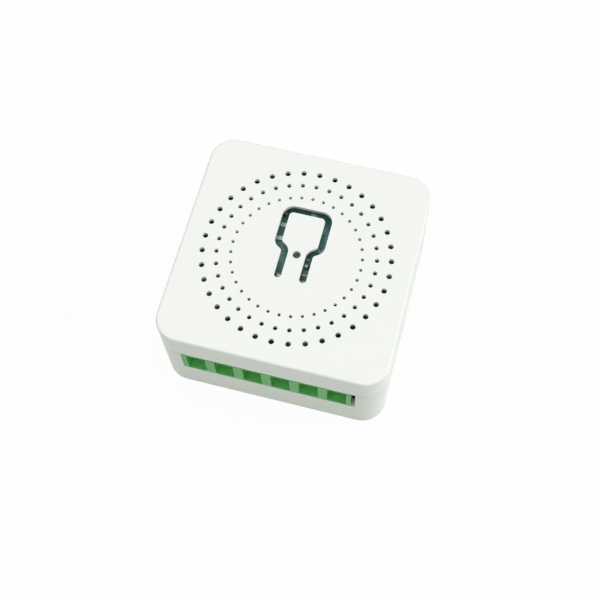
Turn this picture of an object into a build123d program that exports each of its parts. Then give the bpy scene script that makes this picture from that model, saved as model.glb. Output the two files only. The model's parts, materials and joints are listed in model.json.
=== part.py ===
from build123d import *
import os

os.makedirs("parts", exist_ok=True)

# Smart relay module, a small square box with a six-pole screw terminal along its front side.
# Millimetres. The origin is the centre of the underside, +Z is up, -Y is the terminal side.

# Terminal block: its standard pitch sets the width of the case
pole_count = 6
pole_pitch = 5.08
housing_shift = -0.33
window_gap = 0.43
window_margin = 4.83

# Case
case_corner = 4.4
edge_round = 0.45
base_wall = 1.5
base_floor = 1.6
lid_plate = 0.7
window_height = 6.0

# Heights inside, from the floor up
component_room = 12.8
board_thickness = 1.6
switch_room = 2.8

# Seam between base and cover, and the lip that locates them
board_rise = 0.9
seam_gap = 0.2
lip_height = 1.2
lip_wall = 0.7
lip_clearance = 0.1

# Corner posts under the board, as shares of the case's inner corner radius
post_place_share = 0.44
post_radius_share = 0.55

# Clearances and overruns
board_clearance = 0.3
moving_clearance = 0.1
fit_clearance = 0.05
cut_overrun = 0.5

# Vents, three rings of round holes in the cover
vents_per_ring = 36
outer_ring_radius = 16.6
outer_vent = 1.0
middle_ring_radius = 14.08
middle_vent = 0.8
inner_ring_radius = 11.55
inner_vent = 0.6

# Button tongue, cut free of the cover by a slot
slot_width = 1.28
neck_width = 3.2
head_width = 6.5
tongue_root = -4.2
shoulder_start = 1.2
shoulder_rise = 1.1
head_length = 5.88
neck_round = 1.8
shoulder_round = 0.7
head_round = 0.75
light_hole = 1.45
light_hole_place = 0.2
presser_diameter = 2.4
presser_round = 0.3
press_gap = 0.05

# Snap hooks on the cover and their pockets in the base
hook_width = 4.0
hook_thickness = 1.1
hook_clearance = 0.25
hook_place = 7.5
hook_drop = 4.0
hook_nub = 0.7
hook_nub_height = 1.3
hook_tip_height = 0.5
pocket_clearance = 0.15
pad_radius = 1.0
pad_inset = 2.6

# Push switch and indicator on top of the board
switch_side = 5.2
switch_body_height = 1.1
switch_height = 1.5
switch_shift = -0.75
switch_place = 5.65
switch_corner = 0.4
plunger_diameter = 2.2
plunger_well = 0.85
plunger_travel = 0.25
switch_lead_spacing = 2.75
switch_lead_width = 0.75
switch_lead_reach = 1.7
switch_lead_thickness = 0.2
led_width = 2.0
led_length = 3.0
led_height = 1.3
led_lens_rise = 0.15
led_lens_share = 0.85

# Chips on top of the board, with places as shares of the board's half width
chip_length = 1.6
chip_width = 0.8
resistor_height = 0.45
capacitor_chip_height = 0.8
resistor_shares = (
    (0.03, 0.60), (0.10, -0.14), (-0.30, 0.10), (-0.44, 0.17), (-0.54, 0.17), (0.40, 0.15), (0.51, 0.15),
    (0.59, -0.42), (-0.27, -0.49), (0.29, -0.52), (0.60, 0.62), (-0.69, 0.66), (-0.50, 0.66), (0.22, 0.66),
)
capacitor_chip_shares = (
    (-0.40, -0.06), (0.30, 0.12), (0.50, -0.20), (-0.31, 0.62), (0.42, 0.66), (-0.60, -0.60), (0.66, 0.28),
)

# Terminal block, seen from the wire side
nose_clearance = 0.1
nose_slab = 0.25
nose_edge_share = 0.6
rib_width = 1.65
throat_width = 2.9
funnel_depth = 3.0
housing_depth = 8.2
chamber_width = 4.2
chamber_end_wall = 0.6
strip_thickness = 0.8
strip_width = 2.5
strip_step = 0.25
tail_width = 1.0
tail_thickness = 0.7
cage_width = 3.9
cage_depth = 4.6
cage_side_wall = 0.5
cage_roof = 0.6
wire_spare = 0.3
screw_diameter = 2.5
screw_head = 3.7
screw_hole = 3.3
driver_slot_width = 0.6
driver_slot_depth = 0.5
driver_hole = 3.8
driver_pad_depth = 5.4
pad_gap = 0.2

# How the height between the floor and the contact strip is shared out along a screw
driver_pad_share = 0.12
retainer_share = 0.10
screw_head_share = 0.20
cage_floor_share = 0.16

# Leads and their solder
lead_diameter = 0.6
lead_gap = 0.3
pin_rise = 0.6
solder_height = 0.5
thin_solder = 1.3
thin_solder_top = 0.8
thick_solder = 2.1
thick_solder_top = 1.45

# Relay
relay_length = 18.0
relay_width = 10.2
relay_floor_gap = 0.5
relay_wall = 0.6
relay_base_thickness = 1.4
iron_thickness = 0.9
iron_width = 7.0
yoke_clearance = 0.2
bobbin_diameter = 7.2
bobbin_flange = 0.6
winding_diameter = 6.6
bobbin_tube = 3.6
core_diameter = 2.6
pole_diameter = 3.4
pole_thickness = 0.4
pole_gap = 0.35
armature_overhang = 0.9
blade_thickness = 0.3
blade_width = 3.0
blade_overhang = 0.15
contact_diameter = 2.4
contact_height = 0.5
contact_gap = 0.9
leg_clearance = 1.05
fixed_blade_thickness = 0.5
relay_pin_inset = 1.4
relay_pin_spread = 3.0
indicator_clearance = 0.475

# Power supply parts under the board
mains_can_diameter = 8.0
mains_can_gap = 1.0
output_can_diameter = 6.3
output_can_gap = 1.6
can_crimp_depth = 0.35
can_crimp_height = 1.2
can_crimp_drop = 1.6
can_rim_round = 0.5
can_lead_share = 0.42
behind_cans_share = 0.19
choke_diameter = 7.5
choke_gap = 3.6
choke_flange = 1.0
choke_waist = 3.4
winding_inset = 0.5
choke_lead_share = 0.6
varistor_diameter = 7.5
varistor_thickness = 3.4
varistor_neck_share = 0.6
varistor_lead_share = 0.6
resistor_diameter = 3.2
resistor_length = 8.4
resistor_drop = 3.4
resistor_cap = 1.4
resistor_cap_step = 0.2
resistor_lead_reach = 1.5
lead_bend = 0.6
bridge_length = 4.8
bridge_width = 3.9
bridge_height = 2.3
converter_length = 4.9
converter_width = 3.9
converter_height = 1.4
foot_length = 1.0
foot_width = 0.5
foot_thickness = 0.2
foot_spacing_share = 0.6

# Radio board, standing on edge at the back
radio_width = 16.0
radio_thickness = 0.8
radio_gap = 1.6
shield_width = 11.0
shield_depth = 2.2
shield_drop = 2.2
shield_floor_gap = 1.0
shield_round = 0.4
radio_pin_count = 6
radio_pin_pitch = 2.0
radio_pin = 0.5
radio_pin_hold = 1.5

# Sizes that follow: terminal block and case
housing_length = pole_count * pole_pitch
window_width = housing_length + 2 * window_gap
case_side = window_width + 2 * window_margin
case_half = case_side / 2
inner_half = case_half - base_wall
board_half = inner_half - board_clearance

# Levels that follow, from the underside up to the outer height of 19.5
board_bottom = base_floor + component_room
board_top = board_bottom + board_thickness
plate_bottom = board_top + switch_room
case_height = plate_bottom + lid_plate
seam = board_bottom - board_rise
base_top = seam - seam_gap / 2
cover_bottom = seam + seam_gap / 2
lip_top = base_top + lip_height
window_floor = base_top - window_height

# Corner posts that carry the board, kept inside the lip
inner_corner = case_corner - base_wall
post_place = case_half - case_corner + post_place_share * inner_corner
post_radius = post_radius_share * inner_corner

# Hooks
hook_outer = inner_half - hook_clearance
hook_inner = hook_outer - hook_thickness
hook_bottom = base_top - hook_drop
nub_bottom = hook_bottom + hook_tip_height
nub_reach = hook_outer + hook_nub

# Terminal block places
pole_places = [housing_shift + (n - (pole_count - 1) / 2) * pole_pitch for n in range(pole_count)]
mouth_width = pole_pitch - rib_width
housing_face = -case_half
housing_front = -inner_half + board_clearance
housing_back = housing_front + housing_depth
nose_bottom = window_floor + nose_clearance
nose_top = base_top - nose_clearance
mouth_floor = nose_bottom + nose_slab
mouth_top = nose_top - nose_slab
chamber_front = housing_face + funnel_depth
chamber_back = housing_back - chamber_end_wall
strip_top = mouth_floor + strip_step
strip_bottom = strip_top - strip_thickness
tail_back = chamber_back - moving_clearance
cage_back = tail_back - tail_thickness - moving_clearance
screw_line = cage_back - cage_depth / 2

# Levels along a terminal screw, shared out of the height under the contact strip
screw_stack = strip_bottom - base_floor - pad_gap - 3 * moving_clearance
driver_pad_top = base_floor + driver_pad_share * screw_stack
housing_bottom = driver_pad_top + pad_gap
chamber_bottom = housing_bottom + retainer_share * screw_stack
head_bottom = chamber_bottom + moving_clearance
head_top = head_bottom + screw_head_share * screw_stack
cage_floor = cage_floor_share * screw_stack
cage_travel = screw_stack * (1 - driver_pad_share - retainer_share - screw_head_share - cage_floor_share)
screw_tip = strip_bottom - moving_clearance
cage_bottom = screw_tip - cage_floor
wire_opening = cage_travel + wire_spare
cage_top = strip_top + wire_opening + cage_roof
chamber_top = cage_top + wire_spare

# Button and switch
switch_top = board_top + switch_height
presser_bottom = switch_top + press_gap
button_arm = switch_place - tongue_root

# Rooms for the parts behind the terminal block, in rows beside the relay, whose coil pins come up
# beside the indicator; the cans stand further back, so that their leads clear the switch
room_left = -(hook_inner - board_clearance)
room_width = -2 * room_left
room_front = housing_back + board_clearance
room_depth = inner_half - board_clearance - room_front
radio_depth = radio_thickness + shield_depth
row_gap = (room_depth - relay_width - mains_can_diameter - radio_depth) / 4
relay_row = room_front + row_gap + relay_width / 2
bridge_row = relay_row + relay_width / 2 + row_gap + mains_can_diameter / 2
can_row = relay_row + (relay_width + mains_can_diameter) / 2 + 2 * (1 - behind_cans_share) * row_gap
radio_face = can_row + mains_can_diameter / 2 + 2 * behind_cans_share * row_gap + shield_depth

relay_pin_place = led_width / 2 + indicator_clearance + lead_diameter / 2
relay_end = relay_pin_place + relay_pin_inset
relay_place = relay_end - relay_length / 2
first_gap = (room_width / 2 - relay_end - varistor_thickness - resistor_diameter) / 3
varistor_place = relay_end + first_gap + varistor_thickness / 2
resistor_place = varistor_place + varistor_thickness / 2 + first_gap + resistor_diameter / 2

second_gap = (room_width - mains_can_diameter - output_can_diameter - choke_diameter - bridge_length) / 5
mains_can_place = room_left + second_gap + mains_can_diameter / 2
output_can_place = mains_can_place + mains_can_diameter / 2 + second_gap + output_can_diameter / 2
choke_place = output_can_place + output_can_diameter / 2 + second_gap + choke_diameter / 2
bridge_place = choke_place + choke_diameter / 2 + second_gap + bridge_length / 2
converter_place = (radio_width / 2 + room_width / 2) / 2
converter_row = radio_face - shield_depth / 2

# Relay levels and places, from its base under the board down to the armature
relay_bottom = base_floor + relay_floor_gap
relay_base_bottom = board_bottom - relay_base_thickness
relay_floor = relay_bottom + relay_wall
yoke_back = relay_place + relay_length / 2 - relay_wall - yoke_clearance
yoke_inner = yoke_back - iron_thickness
coil_place = yoke_inner - yoke_clearance - bobbin_diameter / 2
armature_bottom = relay_floor + blade_thickness + 3 * moving_clearance
armature_top = armature_bottom + iron_thickness
pole_face = armature_top + pole_gap
bobbin_bottom = pole_face + pole_thickness
bobbin_top = relay_base_bottom - iron_thickness
armature_pivot = yoke_back - iron_thickness / 2
armature_end = coil_place - bobbin_diameter / 2 - armature_overhang
moving_contact_top = armature_bottom + contact_height
fixed_contact_bottom = moving_contact_top + contact_gap
fixed_blade_bottom = fixed_contact_bottom + contact_height
fixed_leg = relay_place - relay_length / 2 + relay_wall + leg_clearance + fixed_blade_thickness / 2
contact_line = fixed_leg + (fixed_blade_thickness + contact_diameter) / 2
blade_end = contact_line - contact_diameter / 2 - blade_overhang

# Where each lead goes through the board
lead_radius = lead_diameter / 2
thin_hole = lead_radius + fit_clearance
thick_hole = Vector(tail_width, tail_thickness).length / 2 + fit_clearance
tail_line = tail_back - tail_thickness / 2
lead_top = board_top + pin_rise
coil_pins = [(relay_pin_place, relay_row + side * relay_pin_spread) for side in (-1, 1)]
yoke_pin = (coil_place, relay_row)
can_leads = [
    (place + side * can_lead_share * diameter / 2, can_row)
    for place, diameter in ((mains_can_place, mains_can_diameter), (output_can_place, output_can_diameter))
    for side in (-1, 1)
]
choke_leads = [(choke_place, can_row + side * choke_lead_share * choke_diameter / 2) for side in (-1, 1)]
varistor_leads = [
    (varistor_place, relay_row + side * varistor_lead_share * varistor_diameter / 2) for side in (-1, 1)
]
resistor_lead_offset = resistor_length / 2 + resistor_lead_reach
resistor_leads = [(resistor_place, relay_row + side * resistor_lead_offset) for side in (-1, 1)]
radio_pin_line = radio_face - radio_pin / 2
radio_pins_at = [
    ((n - (radio_pin_count - 1) / 2) * radio_pin_pitch, radio_pin_line) for n in range(radio_pin_count)
]
thin_leads = coil_pins + can_leads + choke_leads + varistor_leads + resistor_leads + radio_pins_at
thick_leads = [(x, tail_line) for x in pole_places] + [(fixed_leg, relay_row), yoke_pin]

standing = (Align.CENTER, Align.CENTER, Align.MIN)


def keep(piece, name):
    """Label a finished piece and write its file."""
    piece.part.label = name
    export_step(piece.part, f"parts/{name}.step")


def case_outline(height, inset):
    """The case's rounded square at a height, drawn in from its outer faces."""
    side = case_side - 2 * inset
    with BuildSketch(Plane.XY.offset(height)) as outline:
        RectangleRounded(side, side, case_corner - inset)
    return outline.sketch


def tongue_outline(height):
    """The button tongue seen from above: a narrow neck that widens to a rounded head."""
    neck, head = neck_width / 2, head_width / 2
    shoulder = shoulder_start + shoulder_rise
    tip = shoulder + head_length
    with BuildSketch(Plane.XY.offset(height)) as outline:
        with BuildLine():
            FilletPolyline(
                (0, tip), (head, tip), (head, shoulder), (neck, shoulder_start), (neck, tongue_root),
                radius=[head_round, shoulder_round, neck_round],
            )
            mirror(about=Plane.YZ)
            Line((neck, tongue_root), (-neck, tongue_root))
        make_face()
    return outline.sketch


def slot_outline(height):
    """The opening round the tongue: the tongue's outline grown by the slot, with round leg ends."""
    leg = (neck_width + slot_width) / 2
    with BuildSketch(Plane.XY.offset(height)) as opening:
        add(tongue_outline(0))
        offset(amount=slot_width, kind=Kind.ARC)
        with Locations((0, tongue_root)):
            Rectangle(4 * leg, 4 * leg, align=(Align.CENTER, Align.MAX), mode=Mode.SUBTRACT)
        with Locations((-leg, tongue_root), (leg, tongue_root)):
            Circle(slot_width / 2)
    return opening.sketch


# Base case: floor, four walls with an open notch for the terminals, locating lip and board posts
with BuildPart() as base_case:
    extrude(case_outline(0, 0), amount=base_top)
    fillet(base_case.faces().sort_by(Axis.Z)[0].edges(), edge_round)
    extrude(case_outline(base_top, base_wall - lip_wall), amount=lip_height)
    extrude(case_outline(base_floor, base_wall), amount=lip_top - base_floor, mode=Mode.SUBTRACT)
    with BuildSketch(Plane.XY.offset(base_floor)):
        with GridLocations(2 * post_place, 2 * post_place, 2, 2):
            Circle(post_radius)
    extrude(amount=component_room)
    with BuildSketch(Plane.XY.offset(window_floor)):
        with Locations((0, -case_half)):
            Rectangle(window_width, 2 * (base_wall + moving_clearance))
    extrude(amount=lip_top - window_floor, mode=Mode.SUBTRACT)
    with BuildSketch(Plane.XY.offset(nub_bottom - pocket_clearance)):
        with GridLocations(2 * inner_half, 2 * hook_place, 2, 2):
            pocket_reach = nub_reach + pocket_clearance - inner_half
            Rectangle(2 * pocket_reach, hook_width + 2 * pocket_clearance)
    extrude(amount=hook_nub_height + 2 * pocket_clearance, mode=Mode.SUBTRACT)
    with BuildSketch(Plane.XY.offset(base_floor)):
        with Locations((housing_shift, screw_line)):
            Rectangle(housing_length, driver_pad_depth)
    extrude(amount=driver_pad_top - base_floor)
    with BuildSketch():
        with Locations(*[(x, screw_line) for x in pole_places]):
            Circle(driver_hole / 2)
    extrude(amount=driver_pad_top, mode=Mode.SUBTRACT)
keep(base_case, "base_case")

# Snap hooks: one barbed arm, mirrored to both sides and both ends
with BuildPart() as snap_hooks:
    with BuildSketch(Plane.XZ.offset(-hook_place)):
        with BuildLine():
            Polyline(
                (hook_inner, plate_bottom), (hook_inner, hook_bottom), (hook_outer, hook_bottom),
                (nub_reach, nub_bottom + hook_nub_height / 2), (nub_reach, nub_bottom + hook_nub_height),
                (hook_outer, nub_bottom + hook_nub_height), (hook_outer, plate_bottom),
                close=True,
            )
        make_face()
    extrude(amount=hook_width / 2, both=True)
    mirror(about=Plane.YZ)
    mirror(about=Plane.XZ)

# Top cover: plate and skirt, with the vents, the slot, hooks and the pads that hold the board down
with BuildPart() as top_cover:
    extrude(case_outline(cover_bottom, 0), amount=case_height - cover_bottom)
    fillet(top_cover.faces().sort_by(Axis.Z)[-1].edges(), edge_round)
    extrude(case_outline(cover_bottom, base_wall), amount=plate_bottom - cover_bottom, mode=Mode.SUBTRACT)
    extrude(
        case_outline(cover_bottom, base_wall - lip_wall - lip_clearance),
        amount=lip_top + lip_clearance - cover_bottom,
        mode=Mode.SUBTRACT,
    )
    add(snap_hooks.part)
    pad_place = inner_half - pad_inset
    with BuildSketch(Plane.XY.offset(board_top)):
        with GridLocations(2 * pad_place, 2 * pad_place, 2, 2):
            Circle(pad_radius)
    extrude(amount=switch_room)
    for ring_radius, vent in (
        (outer_ring_radius, outer_vent),
        (middle_ring_radius, middle_vent),
        (inner_ring_radius, inner_vent),
    ):
        with BuildSketch(Plane.XY.offset(plate_bottom)):
            with PolarLocations(ring_radius, vents_per_ring):
                Circle(vent / 2)
        extrude(amount=lid_plate, mode=Mode.SUBTRACT)
    extrude(slot_outline(plate_bottom), amount=lid_plate, mode=Mode.SUBTRACT)
keep(top_cover, "top_cover")

# Button tongue: the springy tab inside the slot, with the light hole and the presser under it
with BuildPart() as button_tongue:
    extrude(tongue_outline(plate_bottom), amount=lid_plate)
    with BuildSketch(Plane.XY.offset(presser_bottom)):
        with Locations((switch_shift, switch_place)):
            Circle(presser_diameter / 2)
    extrude(amount=plate_bottom - presser_bottom)
    fillet(button_tongue.faces().sort_by(Axis.Z)[0].edges(), presser_round)
    with BuildSketch(Plane.XY.offset(plate_bottom)):
        with Locations((0, light_hole_place)):
            Circle(light_hole / 2)
    extrude(amount=lid_plate, mode=Mode.SUBTRACT)
keep(button_tongue, "button_tongue")

# Main board: a square plate with corner rounds, a notch for each hook and a hole for each lead
with BuildPart() as main_board:
    extrude(case_outline(board_bottom, base_wall + board_clearance), amount=board_thickness)
    with BuildSketch(Plane.XY.offset(board_bottom)):
        with GridLocations(2 * board_half, 2 * hook_place, 2, 2):
            Rectangle(2 * (board_half - hook_inner + hook_clearance), hook_width + 2 * hook_clearance)
        with Locations(*thin_leads):
            Circle(thin_hole)
        with Locations(*thick_leads):
            Circle(thick_hole)
    extrude(amount=board_thickness, mode=Mode.SUBTRACT)
keep(main_board, "main_board")

# Push switch: body with a round well, four flat leads, and the plunger that the presser pushes
with BuildPart() as switch_body:
    with BuildSketch(Plane.XY.offset(board_top)):
        with Locations((switch_shift, switch_place)):
            RectangleRounded(switch_side, switch_side, switch_corner)
    extrude(amount=switch_body_height)
    with BuildSketch(Plane.XY.offset(board_top + switch_body_height)):
        with Locations((switch_shift, switch_place)):
            Circle(plunger_diameter / 2 + fit_clearance)
    extrude(amount=-plunger_well, mode=Mode.SUBTRACT)
keep(switch_body, "switch_body")

with BuildPart() as switch_leads:
    with BuildSketch(Plane.XY.offset(board_top)):
        with Locations((switch_shift, switch_place)):
            with GridLocations(switch_side + switch_lead_reach, switch_lead_spacing, 2, 2):
                Rectangle(switch_lead_reach, switch_lead_width)
    extrude(amount=switch_lead_thickness)
keep(switch_leads, "switch_leads")

with BuildPart() as switch_plunger:
    plunger_bottom = board_top + switch_body_height - plunger_well + plunger_travel + fit_clearance
    with BuildSketch(Plane.XY.offset(plunger_bottom)):
        with Locations((switch_shift, switch_place)):
            Circle(plunger_diameter / 2)
    extrude(amount=switch_top - plunger_bottom)
keep(switch_plunger, "switch_plunger")

# Indicator light: a chip with a raised clear lens, under the hole in the tongue
with BuildPart() as indicator_led:
    with BuildSketch(Plane.XY.offset(board_top)):
        with Locations((0, light_hole_place)):
            Rectangle(led_width, led_length)
    extrude(amount=led_height - led_lens_rise)
    with BuildSketch(Plane.XY.offset(board_top + led_height - led_lens_rise)):
        with Locations((0, light_hole_place)):
            Rectangle(led_lens_share * led_width, led_lens_share * led_length)
    extrude(amount=led_lens_rise)
keep(indicator_led, "indicator_led")


def chips(shares, height):
    """A group of small oblong chips on top of the board, at shares of its half width."""
    with BuildPart() as group:
        with BuildSketch(Plane.XY.offset(board_top)):
            with Locations(*[(across * board_half, along * board_half) for across, along in shares]):
                Rectangle(chip_width, chip_length)
        extrude(amount=height)
    return group


keep(chips(resistor_shares, resistor_height), "chip_resistors")
keep(chips(capacitor_chip_shares, capacitor_chip_height), "chip_capacitors")

# Terminal housing: a body and a nose flush in the window, with a funnel and a chamber per pole
with BuildPart() as terminal_housing:
    with BuildSketch(Plane.XY.offset(housing_bottom)):
        with Locations((housing_shift, housing_front)):
            Rectangle(housing_length, housing_depth, align=(Align.CENTER, Align.MIN))
    extrude(amount=board_bottom - housing_bottom)
    with BuildSketch(Plane.XY.offset(nose_bottom)):
        with Locations((housing_shift, housing_face)):
            nose_depth = housing_front - housing_face + moving_clearance
            Rectangle(housing_length, nose_depth, align=(Align.CENTER, Align.MIN))
    extrude(amount=nose_top - nose_bottom)
    nose_edge = terminal_housing.faces().sort_by(Axis.Y)[0].edges().sort_by(Axis.Z)[-1]
    fillet(nose_edge, nose_edge_share * nose_slab)
    with BuildSketch(Plane.XY.offset(chamber_bottom)):
        with Locations(*[(x, chamber_front) for x in pole_places]):
            Rectangle(chamber_width, chamber_back - chamber_front, align=(Align.CENTER, Align.MIN))
    extrude(amount=chamber_top - chamber_bottom, mode=Mode.SUBTRACT)
    with BuildSketch(Plane.XY.offset(housing_bottom)):
        with Locations(*[(x, screw_line) for x in pole_places]):
            Circle(screw_hole / 2)
    extrude(amount=chamber_bottom - housing_bottom, mode=Mode.SUBTRACT)
    with BuildSketch(Plane.XY.offset(chamber_top)):
        with Locations(*[(x, tail_line) for x in pole_places]):
            Rectangle(tail_width + 2 * moving_clearance, tail_thickness + 2 * moving_clearance)
    extrude(amount=board_bottom - chamber_top, mode=Mode.SUBTRACT)
    for x in pole_places:
        with BuildSketch(Plane.XZ.offset(-housing_face)):
            with Locations((x, mouth_floor)):
                Rectangle(mouth_width, mouth_top - mouth_floor, align=(Align.CENTER, Align.MIN))
        with BuildSketch(Plane.XZ.offset(-chamber_front)):
            with Locations((x, strip_top)):
                Rectangle(throat_width, wire_opening, align=(Align.CENTER, Align.MIN))
        loft(ruled=True, mode=Mode.SUBTRACT)
keep(terminal_housing, "terminal_housing")

# One contact strip, clamp cage and screw per pole, numbered from the left
for number, x in enumerate(pole_places, 1):
    with BuildPart() as contact_strip:
        with BuildSketch(Plane.XY.offset(strip_bottom)):
            with Locations((x, tail_back)):
                strip_length = tail_back - chamber_front - moving_clearance
                Rectangle(strip_width, strip_length, align=(Align.CENTER, Align.MAX))
        extrude(amount=strip_thickness)
        with BuildSketch(Plane.XY.offset(strip_bottom)):
            with Locations((x, tail_line)):
                Rectangle(tail_width, tail_thickness)
        extrude(amount=lead_top - strip_bottom)
    keep(contact_strip, f"contact_strip_{number}")

    with BuildPart() as clamp_cage:
        with BuildSketch(Plane.XY.offset(cage_bottom)):
            with Locations((x, screw_line)):
                Rectangle(cage_width, cage_depth)
        extrude(amount=cage_top - cage_bottom)
        with BuildSketch(Plane.XY.offset(cage_bottom + cage_floor)):
            with Locations((x, screw_line)):
                Rectangle(cage_width - 2 * cage_side_wall, cage_depth + 2 * cut_overrun)
        extrude(amount=cage_top - cage_roof - cage_bottom - cage_floor, mode=Mode.SUBTRACT)
        with BuildSketch(Plane.XY.offset(cage_bottom)):
            with Locations((x, screw_line)):
                Circle(screw_diameter / 2 + fit_clearance)
        extrude(amount=cage_floor, mode=Mode.SUBTRACT)
    keep(clamp_cage, f"clamp_cage_{number}")

    with BuildPart() as terminal_screw:
        with BuildSketch(Plane.XY.offset(head_bottom)):
            with Locations((x, screw_line)):
                Circle(screw_head / 2)
        extrude(amount=head_top - head_bottom)
        with BuildSketch(Plane.XY.offset(head_top)):
            with Locations((x, screw_line)):
                Circle(screw_diameter / 2)
        extrude(amount=screw_tip - head_top)
        with BuildSketch(Plane.XY.offset(head_bottom)):
            with Locations((x, screw_line)):
                Rectangle(screw_head + cut_overrun, driver_slot_width)
        extrude(amount=driver_slot_depth, mode=Mode.SUBTRACT)
    keep(terminal_screw, f"terminal_screw_{number}")

# Relay cover: a thin-walled box, open towards the board
with BuildPart() as relay_cover:
    with BuildSketch(Plane.XY.offset(relay_bottom)):
        with Locations((relay_place, relay_row)):
            RectangleRounded(relay_length, relay_width, relay_wall)
    extrude(amount=board_bottom - relay_bottom)
    with BuildSketch(Plane.XY.offset(relay_floor)):
        with Locations((relay_place, relay_row)):
            Rectangle(relay_length - 2 * relay_wall, relay_width - 2 * relay_wall)
    extrude(amount=board_bottom - relay_floor, mode=Mode.SUBTRACT)
keep(relay_cover, "relay_cover")

# Relay base: the plate that closes the cover, with a hole for each pin
with BuildPart() as relay_base:
    with BuildSketch(Plane.XY.offset(relay_base_bottom)):
        with Locations((relay_place, relay_row)):
            base_gap = relay_wall + moving_clearance
            Rectangle(relay_length - 2 * base_gap, relay_width - 2 * base_gap)
        with Locations(*coil_pins):
            Circle(thin_hole, mode=Mode.SUBTRACT)
        with Locations((fixed_leg, relay_row), yoke_pin):
            Circle(thick_hole, mode=Mode.SUBTRACT)
    extrude(amount=relay_base_thickness)
keep(relay_base, "relay_base")

# Relay yoke: an L of iron over the coil and down beside it, with its pin through the base
with BuildPart() as relay_yoke:
    with BuildSketch(Plane.XY.offset(bobbin_top)):
        with Locations((yoke_back, relay_row)):
            yoke_length = yoke_back - coil_place + bobbin_diameter / 2
            Rectangle(yoke_length, iron_width, align=(Align.MAX, Align.CENTER))
    extrude(amount=iron_thickness)
    with BuildSketch(Plane.XY.offset(bobbin_top)):
        with Locations((yoke_back, relay_row)):
            Rectangle(iron_thickness, iron_width, align=(Align.MAX, Align.CENTER))
    extrude(amount=armature_top + fit_clearance - bobbin_top)
    with BuildSketch(Plane.XY.offset(relay_base_bottom)):
        with Locations(yoke_pin):
            Rectangle(tail_width, tail_thickness)
    extrude(amount=lead_top - relay_base_bottom)
keep(relay_yoke, "relay_yoke")

# Relay coil: a spool, its winding and the core with its pole disc
with BuildPart() as relay_bobbin:
    with BuildSketch(Plane.XY.offset(bobbin_bottom)):
        with Locations((coil_place, relay_row)):
            Circle(bobbin_diameter / 2)
    extrude(amount=bobbin_top - bobbin_bottom)
    with BuildSketch(Plane.XY.offset(bobbin_bottom + bobbin_flange)):
        with Locations((coil_place, relay_row)):
            Circle(bobbin_diameter / 2)
            Circle(bobbin_tube / 2, mode=Mode.SUBTRACT)
    extrude(amount=bobbin_top - bobbin_bottom - 2 * bobbin_flange, mode=Mode.SUBTRACT)
    with BuildSketch(Plane.XY.offset(bobbin_bottom)):
        with Locations((coil_place, relay_row)):
            Circle(core_diameter / 2 + fit_clearance)
    extrude(amount=bobbin_top - bobbin_bottom, mode=Mode.SUBTRACT)
keep(relay_bobbin, "relay_bobbin")

with BuildPart() as relay_winding:
    with BuildSketch(Plane.XY.offset(bobbin_bottom + bobbin_flange)):
        with Locations((coil_place, relay_row)):
            Circle(winding_diameter / 2)
            Circle(bobbin_tube / 2 + fit_clearance, mode=Mode.SUBTRACT)
    extrude(amount=bobbin_top - bobbin_bottom - 2 * bobbin_flange)
keep(relay_winding, "relay_winding")

with BuildPart() as relay_core:
    with BuildSketch(Plane.XY.offset(pole_face)):
        with Locations((coil_place, relay_row)):
            Circle(pole_diameter / 2)
    extrude(amount=pole_thickness)
    with BuildSketch(Plane.XY.offset(pole_face)):
        with Locations((coil_place, relay_row)):
            Circle(core_diameter / 2)
    extrude(amount=bobbin_top - pole_face)
keep(relay_core, "relay_core")

# Armature under the pole, and the contact blade that it carries
with BuildPart() as relay_armature:
    with BuildSketch(Plane.XY.offset(armature_bottom)):
        with Locations((yoke_back, relay_row)):
            Rectangle(yoke_back - armature_end, iron_width, align=(Align.MAX, Align.CENTER))
    extrude(amount=iron_thickness)
keep(relay_armature, "relay_armature")

with BuildPart() as moving_contact:
    with BuildSketch(Plane.XY.offset(armature_bottom)):
        with Locations((blade_end, relay_row)):
            Rectangle(yoke_inner - blade_end, blade_width, align=(Align.MIN, Align.CENTER))
    extrude(amount=-blade_thickness)
    with BuildSketch(Plane.XY.offset(armature_bottom)):
        with Locations((contact_line, relay_row)):
            Circle(contact_diameter / 2)
    extrude(amount=contact_height)
keep(moving_contact, "moving_contact")

with BuildPart() as fixed_contact:
    with BuildSketch(Plane.XY.offset(fixed_contact_bottom)):
        with Locations((contact_line, relay_row)):
            Circle(contact_diameter / 2)
    extrude(amount=contact_height)
    with BuildSketch(Plane.XY.offset(fixed_blade_bottom)):
        with Locations((fixed_leg - fixed_blade_thickness / 2, relay_row)):
            Rectangle(
                contact_diameter + fixed_blade_thickness, blade_width, align=(Align.MIN, Align.CENTER)
            )
    extrude(amount=fixed_blade_thickness)
    with BuildSketch(Plane.XY.offset(fixed_blade_bottom)):
        with Locations((fixed_leg, relay_row)):
            Rectangle(fixed_blade_thickness, tail_width)
    extrude(amount=lead_top - fixed_blade_bottom)
keep(fixed_contact, "fixed_contact")


def round_pins(places, bottom):
    """Straight round leads from a level up through the board."""
    with BuildPart() as pins:
        with BuildSketch(Plane.XY.offset(bottom)):
            with Locations(*places):
                Circle(lead_radius)
        extrude(amount=lead_top - bottom)
    return pins


keep(round_pins(coil_pins, relay_base_bottom), "relay_pins")


def can_capacitor(place, diameter, floor_gap):
    """A capacitor can that hangs from the board, with rounded rims and the crimp near its lead end."""
    top = board_bottom - lead_gap
    bottom = base_floor + floor_gap
    with BuildPart() as can:
        with BuildSketch(Plane.XY.offset(bottom)):
            with Locations((place, can_row)):
                Circle(diameter / 2)
        extrude(amount=top - bottom)
        fillet(can.edges().filter_by(GeomType.CIRCLE), can_rim_round)
        with BuildSketch(Plane.XY.offset(top - can_crimp_drop)):
            with Locations((place, can_row)):
                Circle(diameter / 2 + cut_overrun)
                Circle(diameter / 2 - can_crimp_depth, mode=Mode.SUBTRACT)
        extrude(amount=-can_crimp_height / 2, mode=Mode.SUBTRACT)
    return can


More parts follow.
